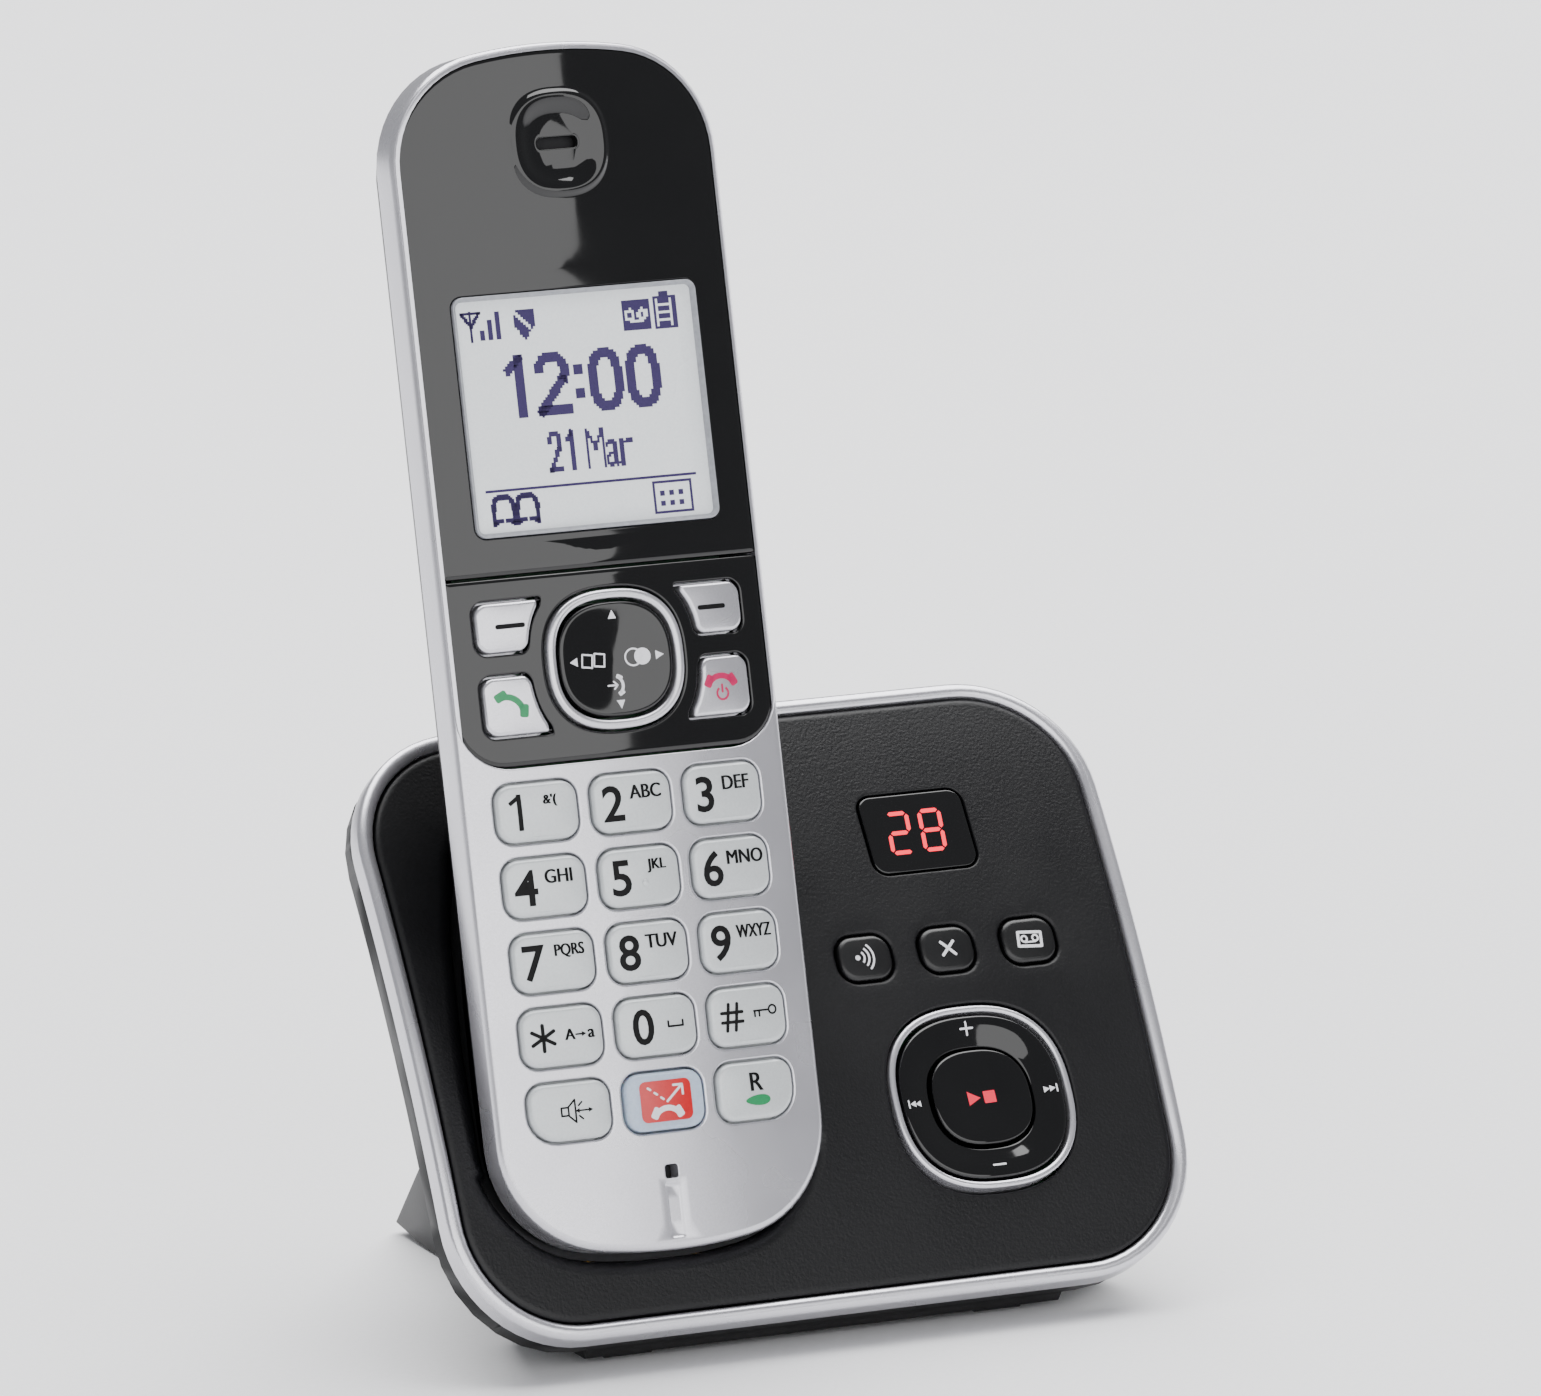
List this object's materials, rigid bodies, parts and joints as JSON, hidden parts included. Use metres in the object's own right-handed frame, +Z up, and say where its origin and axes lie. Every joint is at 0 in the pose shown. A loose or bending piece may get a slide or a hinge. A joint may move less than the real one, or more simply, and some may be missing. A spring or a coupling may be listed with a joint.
{
  "type": "cordless phone with base",
  "caption": "Cordless phone handset with a display and dial keys, standing in a leaning charging base with a message counter and playback keys",
  "frame": {"origin": "centre of the object's bounding box at the height of the surface it stands on", "axes": "+Z up, +X to the right when facing the dial, +Y to the back; the dial faces -Y"},
  "size_m": [0.112, 0.0837, 0.1766],
  "materials": {
    "silver_case": "silver lacquer on moulded plastic",
    "gloss_black": "polished black plastic",
    "dark_case": "fine spark-textured black plastic",
    "key_grey": "satin light grey keys with printed legends",
    "key_red": "red window in a pale translucent key",
    "black_rubber": "soft black rubber",
    "silicone": "moulded grey silicone",
    "circuit_board": "green solder mask",
    "display_glass": "backlit display behind a clear front",
    "plated_steel": "plated steel",
    "cell_jacket": "printed cell jacket",
    "led_lens": "red lit digits in a dark lens"
  },
  "bodies": {
    "base": {"base_panel": "dark_case", "base_trim": "silver_case", "base_lower_case": "dark_case", "counter_window": "gloss_black", "counter_display": "led_lens", "base_navigator_trim": "silver_case", "base_circuit_board": "circuit_board", "base_speaker": "plated_steel", "line_socket": "dark_case", "power_socket": "dark_case", "front_foot_left": "black_rubber", "front_foot_right": "black_rubber", "stand": "dark_case", "rear_pad": "black_rubber"},
    "handset": {"handset_front_case": "silver_case", "handset_rear_case": "dark_case", "charge_plate_left": "plated_steel", "charge_plate_right": "plated_steel", "display_cover": "gloss_black", "display_module": "display_glass", "navigation_panel": "gloss_black", "navigator_ring": "silver_case", "keypad_mat": "silicone", "handset_circuit_board": "circuit_board", "earpiece_receiver": "plated_steel", "handset_speaker": "plated_steel", "microphone": "plated_steel", "battery_left": "cell_jacket", "battery_right": "cell_jacket"},
    "battery_cover": {"battery_cover": "dark_case"},
    "navigator_pivot": {"navigator_pivot": "dark_case"},
    "navigator_key": {"navigator_key": "gloss_black"},
    "key_1": {"key_1": "key_grey"},
    "key_2": {"key_2": "key_grey"},
    "key_3": {"key_3": "key_grey"},
    "key_4": {"key_4": "key_grey"},
    "key_5": {"key_5": "key_grey"},
    "key_6": {"key_6": "key_grey"},
    "key_7": {"key_7": "key_grey"},
    "key_8": {"key_8": "key_grey"},
    "key_9": {"key_9": "key_grey"},
    "key_star": {"key_star": "key_grey"},
    "key_0": {"key_0": "key_grey"},
    "key_hash": {"key_hash": "key_grey"},
    "key_speaker": {"key_speaker": "key_grey"},
    "key_block": {"key_block": "key_red"},
    "key_recall": {"key_recall": "key_grey"},
    "soft_key_left": {"soft_key_left": "key_grey"},
    "soft_key_right": {"soft_key_right": "key_grey"},
    "talk_key": {"talk_key": "key_grey"},
    "off_key": {"off_key": "key_grey"},
    "locator_button": {"locator_button": "gloss_black"},
    "erase_button": {"erase_button": "gloss_black"},
    "answer_button": {"answer_button": "gloss_black"},
    "play_stop_button": {"play_stop_button": "gloss_black"},
    "base_navigator_pivot": {"base_navigator_pivot": "dark_case"},
    "base_navigator_key": {"base_navigator_key": "gloss_black"},
    "charge_pin_left": {"charge_pin_left": "plated_steel"},
    "charge_pin_right": {"charge_pin_right": "plated_steel"}
  },
  "joints": [
    {"name": "handset_lift", "type": "slide", "parent": "base", "child": "handset", "axis": [0, 0.2588, 0.9659], "range_m": [0, 0.12]},
    {"name": "battery_cover_slide", "type": "slide", "parent": "handset", "child": "battery_cover", "axis": [0, -0.2588, -0.9659], "range_m": [0, 0.0035]},
    {"name": "key_1_press", "type": "slide", "parent": "handset", "child": "key_1", "axis": [0, 0.9659, -0.2588], "range_m": [0, 0.0008], "stiffness_N_per_m": 200, "springref_m": -0.0004},
    {"name": "key_2_press", "type": "slide", "parent": "handset", "child": "key_2", "axis": [0, 0.9659, -0.2588], "range_m": [0, 0.0008], "stiffness_N_per_m": 200, "springref_m": -0.0004},
    {"name": "key_3_press", "type": "slide", "parent": "handset", "child": "key_3", "axis": [0, 0.9659, -0.2588], "range_m": [0, 0.0008], "stiffness_N_per_m": 200, "springref_m": -0.0004},
    {"name": "key_4_press", "type": "slide", "parent": "handset", "child": "key_4", "axis": [0, 0.9659, -0.2588], "range_m": [0, 0.0008], "stiffness_N_per_m": 200, "springref_m": -0.0004},
    {"name": "key_5_press", "type": "slide", "parent": "handset", "child": "key_5", "axis": [0, 0.9659, -0.2588], "range_m": [0, 0.0008], "stiffness_N_per_m": 200, "springref_m": -0.0004},
    {"name": "key_6_press", "type": "slide", "parent": "handset", "child": "key_6", "axis": [0, 0.9659, -0.2588], "range_m": [0, 0.0008], "stiffness_N_per_m": 200, "springref_m": -0.0004},
    {"name": "key_7_press", "type": "slide", "parent": "handset", "child": "key_7", "axis": [0, 0.9659, -0.2588], "range_m": [0, 0.0008], "stiffness_N_per_m": 200, "springref_m": -0.0004},
    {"name": "key_8_press", "type": "slide", "parent": "handset", "child": "key_8", "axis": [0, 0.9659, -0.2588], "range_m": [0, 0.0008], "stiffness_N_per_m": 200, "springref_m": -0.0004},
    {"name": "key_9_press", "type": "slide", "parent": "handset", "child": "key_9", "axis": [0, 0.9659, -0.2588], "range_m": [0, 0.0008], "stiffness_N_per_m": 200, "springref_m": -0.0004},
    {"name": "key_star_press", "type": "slide", "parent": "handset", "child": "key_star", "axis": [0, 0.9659, -0.2588], "range_m": [0, 0.0008], "stiffness_N_per_m": 200, "springref_m": -0.0004},
    {"name": "key_0_press", "type": "slide", "parent": "handset", "child": "key_0", "axis": [0, 0.9659, -0.2588], "range_m": [0, 0.0008], "stiffness_N_per_m": 200, "springref_m": -0.0004},
    {"name": "key_hash_press", "type": "slide", "parent": "handset", "child": "key_hash", "axis": [0, 0.9659, -0.2588], "range_m": [0, 0.0008], "stiffness_N_per_m": 200, "springref_m": -0.0004},
    {"name": "key_speaker_press", "type": "slide", "parent": "handset", "child": "key_speaker", "axis": [0, 0.9659, -0.2588], "range_m": [0, 0.0008], "stiffness_N_per_m": 200, "springref_m": -0.0004},
    {"name": "key_block_press", "type": "slide", "parent": "handset", "child": "key_block", "axis": [0, 0.9659, -0.2588], "range_m": [0, 0.0008], "stiffness_N_per_m": 200, "springref_m": -0.0004},
    {"name": "key_recall_press", "type": "slide", "parent": "handset", "child": "key_recall", "axis": [0, 0.9659, -0.2588], "range_m": [0, 0.0008], "stiffness_N_per_m": 200, "springref_m": -0.0004},
    {"name": "soft_key_left_press", "type": "slide", "parent": "handset", "child": "soft_key_left", "axis": [0, 0.9659, -0.2588], "range_m": [0, 0.0006], "stiffness_N_per_m": 200, "springref_m": -0.0004},
    {"name": "soft_key_right_press", "type": "slide", "parent": "handset", "child": "soft_key_right", "axis": [0, 0.9659, -0.2588], "range_m": [0, 0.0006], "stiffness_N_per_m": 200, "springref_m": -0.0004},
    {"name": "talk_key_press", "type": "slide", "parent": "handset", "child": "talk_key", "axis": [0, 0.9659, -0.2588], "range_m": [0, 0.0006], "stiffness_N_per_m": 200, "springref_m": -0.0004},
    {"name": "off_key_press", "type": "slide", "parent": "handset", "child": "off_key", "axis": [0, 0.9659, -0.2588], "range_m": [0, 0.0006], "stiffness_N_per_m": 200, "springref_m": -0.0004},
    {"name": "navigator_up_down", "type": "hinge", "parent": "handset", "child": "navigator_pivot", "pos_m": [-0.0248, -0.01687, 0.09398], "axis": [1, 0, 0], "range_deg": [-2, 2], "stiffness_Nm_per_rad": 0.02},
    {"name": "navigator_left_right", "type": "hinge", "parent": "navigator_pivot", "child": "navigator_key", "pos_m": [-0.0248, -0.01687, 0.09398], "axis": [0, 0.2588, 0.9659], "range_deg": [-2, 2], "stiffness_Nm_per_rad": 0.02},
    {"name": "locator_button_press", "type": "slide", "parent": "base", "child": "locator_button", "axis": [0, 0.8434, -0.5373], "range_m": [0, 0.0006], "stiffness_N_per_m": 200, "springref_m": -0.0004},
    {"name": "erase_button_press", "type": "slide", "parent": "base", "child": "erase_button", "axis": [0, 0.8434, -0.5373], "range_m": [0, 0.0006], "stiffness_N_per_m": 200, "springref_m": -0.0004},
    {"name": "answer_button_press", "type": "slide", "parent": "base", "child": "answer_button", "axis": [0, 0.8434, -0.5373], "range_m": [0, 0.0006], "stiffness_N_per_m": 200, "springref_m": -0.0004},
    {"name": "play_stop_button_press", "type": "slide", "parent": "base", "child": "play_stop_button", "axis": [0, 0.8434, -0.5373], "range_m": [0, 0.0006], "stiffness_N_per_m": 200, "springref_m": -0.0004},
    {"name": "base_navigator_up_down", "type": "hinge", "parent": "base", "child": "base_navigator_pivot", "pos_m": [0.0265, -0.02634, 0.028], "axis": [1, 0, 0], "range_deg": [-1.5, 1.5], "stiffness_Nm_per_rad": 0.04},
    {"name": "base_navigator_left_right", "type": "hinge", "parent": "base_navigator_pivot", "child": "base_navigator_key", "pos_m": [0.0265, -0.02634, 0.028], "axis": [0, 0.5373, 0.8434], "range_deg": [-1.5, 1.5], "stiffness_Nm_per_rad": 0.04},
    {"name": "charge_pin_left_press", "type": "slide", "parent": "base", "child": "charge_pin_left", "axis": [0, -0.2588, -0.9659], "range_m": [0, 0.0008], "stiffness_N_per_m": 300, "springref_m": -0.0004},
    {"name": "charge_pin_right_press", "type": "slide", "parent": "base", "child": "charge_pin_right", "axis": [0, -0.2588, -0.9659], "range_m": [0, 0.0008], "stiffness_N_per_m": 300, "springref_m": -0.0004}
  ]
}
